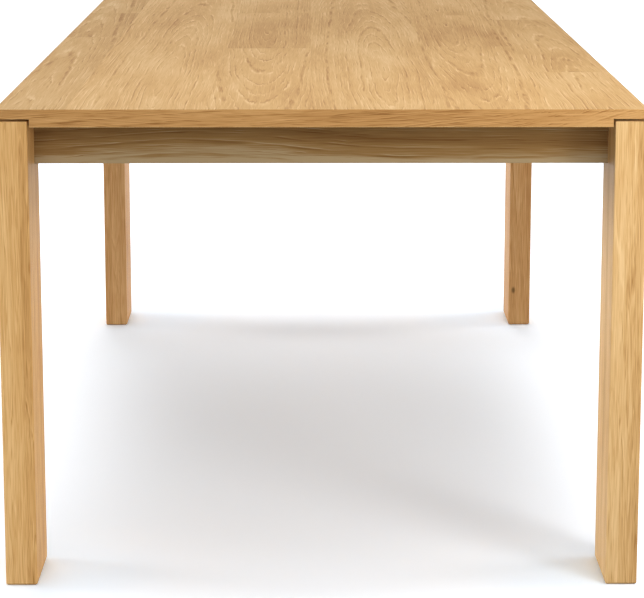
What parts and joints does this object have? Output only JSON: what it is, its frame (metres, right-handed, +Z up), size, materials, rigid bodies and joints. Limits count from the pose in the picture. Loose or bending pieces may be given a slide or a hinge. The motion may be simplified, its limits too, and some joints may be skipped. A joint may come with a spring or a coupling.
{
  "type": "dining table",
  "caption": "Oak dining table with a lipped, veneered top, plank legs let into its corners with a shadow gap, a recessed apron frame and levelling glides.",
  "frame": {"origin": "on the floor, under the middle of the top", "axes": "+Z up, +Y along the table to the far end, +X across it to the right"},
  "size_m": [1, 2, 0.76],
  "materials": {
    "oak_veneer": "crown-cut oak veneer, matt lacquer",
    "solid_oak": "solid oak, matt lacquer",
    "core_board": "raw medium-density fibreboard",
    "beech": "planed beech",
    "zinc_steel": "zinc-plated steel",
    "nylon": "moulded nylon"
  },
  "bodies": {
    "table": {"apron_dowels": "beech", "bearer_dowels": "beech", "bearer_screws": "zinc_steel", "bracket_screws": "zinc_steel", "corner_plate_front_left": "zinc_steel", "corner_plate_front_right": "zinc_steel", "corner_plate_rear_left": "zinc_steel", "corner_plate_rear_right": "zinc_steel", "corner_plate_screws": "zinc_steel", "cross_bearer_front": "beech", "cross_bearer_rear": "beech", "end_apron_front": "solid_oak", "end_apron_rear": "solid_oak", "end_lipping_front": "solid_oak", "end_lipping_rear": "solid_oak", "hanger_bolts": "zinc_steel", "hanger_nuts": "zinc_steel", "hanger_washers": "zinc_steel", "leg_front_left": "solid_oak", "leg_front_right": "solid_oak", "leg_rear_left": "solid_oak", "leg_rear_right": "solid_oak", "side_apron_left": "solid_oak", "side_apron_right": "solid_oak", "side_lipping_left": "solid_oak", "side_lipping_right": "solid_oak", "threaded_inserts": "zinc_steel", "top_brackets": "zinc_steel", "top_core": "core_board", "top_veneer_leaf_1": "oak_veneer", "top_veneer_leaf_2": "oak_veneer", "top_veneer_leaf_3": "oak_veneer", "top_veneer_leaf_4": "oak_veneer", "top_veneer_leaf_5": "oak_veneer", "top_veneer_leaf_6": "oak_veneer", "underside_veneer": "oak_veneer"},
    "glide_front_left": {"glide_stem_front_left": "zinc_steel", "glide_base_front_left": "nylon"},
    "glide_front_right": {"glide_stem_front_right": "zinc_steel", "glide_base_front_right": "nylon"},
    "glide_rear_left": {"glide_stem_rear_left": "zinc_steel", "glide_base_rear_left": "nylon"},
    "glide_rear_right": {"glide_stem_rear_right": "zinc_steel", "glide_base_rear_right": "nylon"}
  },
  "joints": [
    {"name": "glide_front_left_screw", "type": "slide", "parent": "table", "child": "glide_front_left", "axis": [0, 0, -1], "range_m": [0, 0.012]},
    {"name": "glide_front_right_screw", "type": "slide", "parent": "table", "child": "glide_front_right", "axis": [0, 0, -1], "range_m": [0, 0.012]},
    {"name": "glide_rear_left_screw", "type": "slide", "parent": "table", "child": "glide_rear_left", "axis": [0, 0, -1], "range_m": [0, 0.012]},
    {"name": "glide_rear_right_screw", "type": "slide", "parent": "table", "child": "glide_rear_right", "axis": [0, 0, -1], "range_m": [0, 0.012]}
  ]
}
